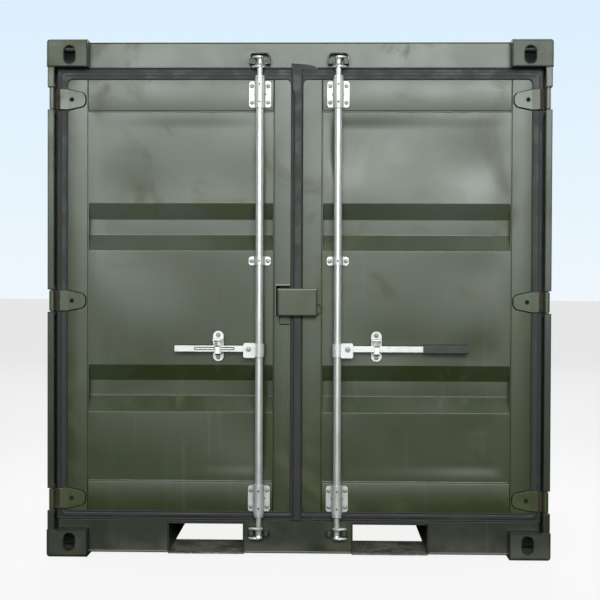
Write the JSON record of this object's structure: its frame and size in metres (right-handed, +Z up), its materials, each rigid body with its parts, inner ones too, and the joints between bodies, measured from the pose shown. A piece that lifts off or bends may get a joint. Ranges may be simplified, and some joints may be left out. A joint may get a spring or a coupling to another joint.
{
  "type": "shipping container",
  "caption": "Eight-foot steel shipping container with corrugated walls, hinged cargo doors, locking bars and fork pockets",
  "frame": {"origin": "on the ground under the middle of the container", "axes": "+Z up, +X right seen from the doors, the doors face -Y"},
  "size_m": [2.2, 2.438, 2.26],
  "materials": {
    "paint": "semi-gloss dark green paint",
    "wall_paint": "semi-gloss dark green paint on corrugated sheet",
    "zinc": "hot-dip galvanised steel",
    "seal": "black rubber extrusion",
    "grip": "black rubber sleeve",
    "boards": "varnished plywood",
    "keeper": "dark green paint worn at the edges"
  },
  "bodies": {
    "frame": {"corner_castings_bottom": "paint", "corner_castings_top": "paint", "front_posts": "paint", "hinge_lugs": "paint", "rear_posts": "paint", "door_header": "paint", "door_sill": "paint", "top_rails": "paint", "rear_bottom_rail": "paint", "bottom_side_rails": "paint", "roof_panel": "wall_paint", "side_wall_left": "wall_paint", "side_wall_right": "wall_paint", "rear_wall": "wall_paint", "floor_boards": "boards", "cross_members": "paint", "fork_pocket_sides": "paint", "fork_pocket_ceilings": "paint", "fork_pocket_straps": "paint", "header_keepers": "keeper", "sill_keepers": "keeper"},
    "left_door": {"left_door_frame": "paint", "left_door_panel": "wall_paint", "left_door_gasket": "seal", "left_hinge_blades": "paint", "left_bar_brackets": "zinc", "left_handle_retainer": "zinc", "lock_staple": "paint"},
    "right_door": {"right_door_frame": "paint", "right_door_panel": "wall_paint", "right_door_gasket": "seal", "right_hinge_blades": "paint", "right_bar_brackets": "zinc", "right_handle_retainer": "zinc", "lock_box": "paint"},
    "left_bar": {"left_lock_bar": "zinc", "left_bar_cams": "zinc", "left_handle_hub": "zinc"},
    "right_bar": {"right_lock_bar": "zinc", "right_bar_cams": "zinc", "right_handle_hub": "zinc"},
    "left_grab": {"left_handle": "zinc"},
    "right_grab": {"right_handle": "zinc", "right_handle_grip": "grip"},
    "left_catch": {"left_handle_catch": "zinc"},
    "right_catch": {"right_handle_catch": "zinc"}
  },
  "joints": [
    {"name": "left_door_swing", "type": "hinge", "parent": "frame", "child": "left_door", "pos_m": [-1.078, -1.201, 1.13], "axis": [0, 0, -1], "range_deg": [0, 265]},
    {"name": "right_door_swing", "type": "hinge", "parent": "frame", "child": "right_door", "pos_m": [1.078, -1.201, 1.13], "axis": [0, 0, 1], "range_deg": [0, 265]},
    {"name": "left_bar_turn", "type": "hinge", "parent": "left_door", "child": "left_bar", "pos_m": [-0.171, -1.194, 1.13], "axis": [0, 0, -1], "range_deg": [-100, 0]},
    {"name": "right_bar_turn", "type": "hinge", "parent": "right_door", "child": "right_bar", "pos_m": [0.171, -1.194, 1.13], "axis": [0, 0, 1], "range_deg": [-100, 0]},
    {"name": "left_handle_lift", "type": "hinge", "parent": "left_bar", "child": "left_grab", "pos_m": [-0.216, -1.194, 0.915], "axis": [0, -1, 0], "range_deg": [-6, 0]},
    {"name": "right_handle_lift", "type": "hinge", "parent": "right_bar", "child": "right_grab", "pos_m": [0.216, -1.194, 0.915], "axis": [0, 1, 0], "range_deg": [-6, 0]},
    {"name": "left_catch_flip", "type": "hinge", "parent": "left_door", "child": "left_catch", "pos_m": [-0.352, -1.206, 0.953], "axis": [1, 0, 0], "range_deg": [-120, 0]},
    {"name": "right_catch_flip", "type": "hinge", "parent": "right_door", "child": "right_catch", "pos_m": [0.342, -1.206, 0.953], "axis": [1, 0, 0], "range_deg": [-120, 0]}
  ]
}
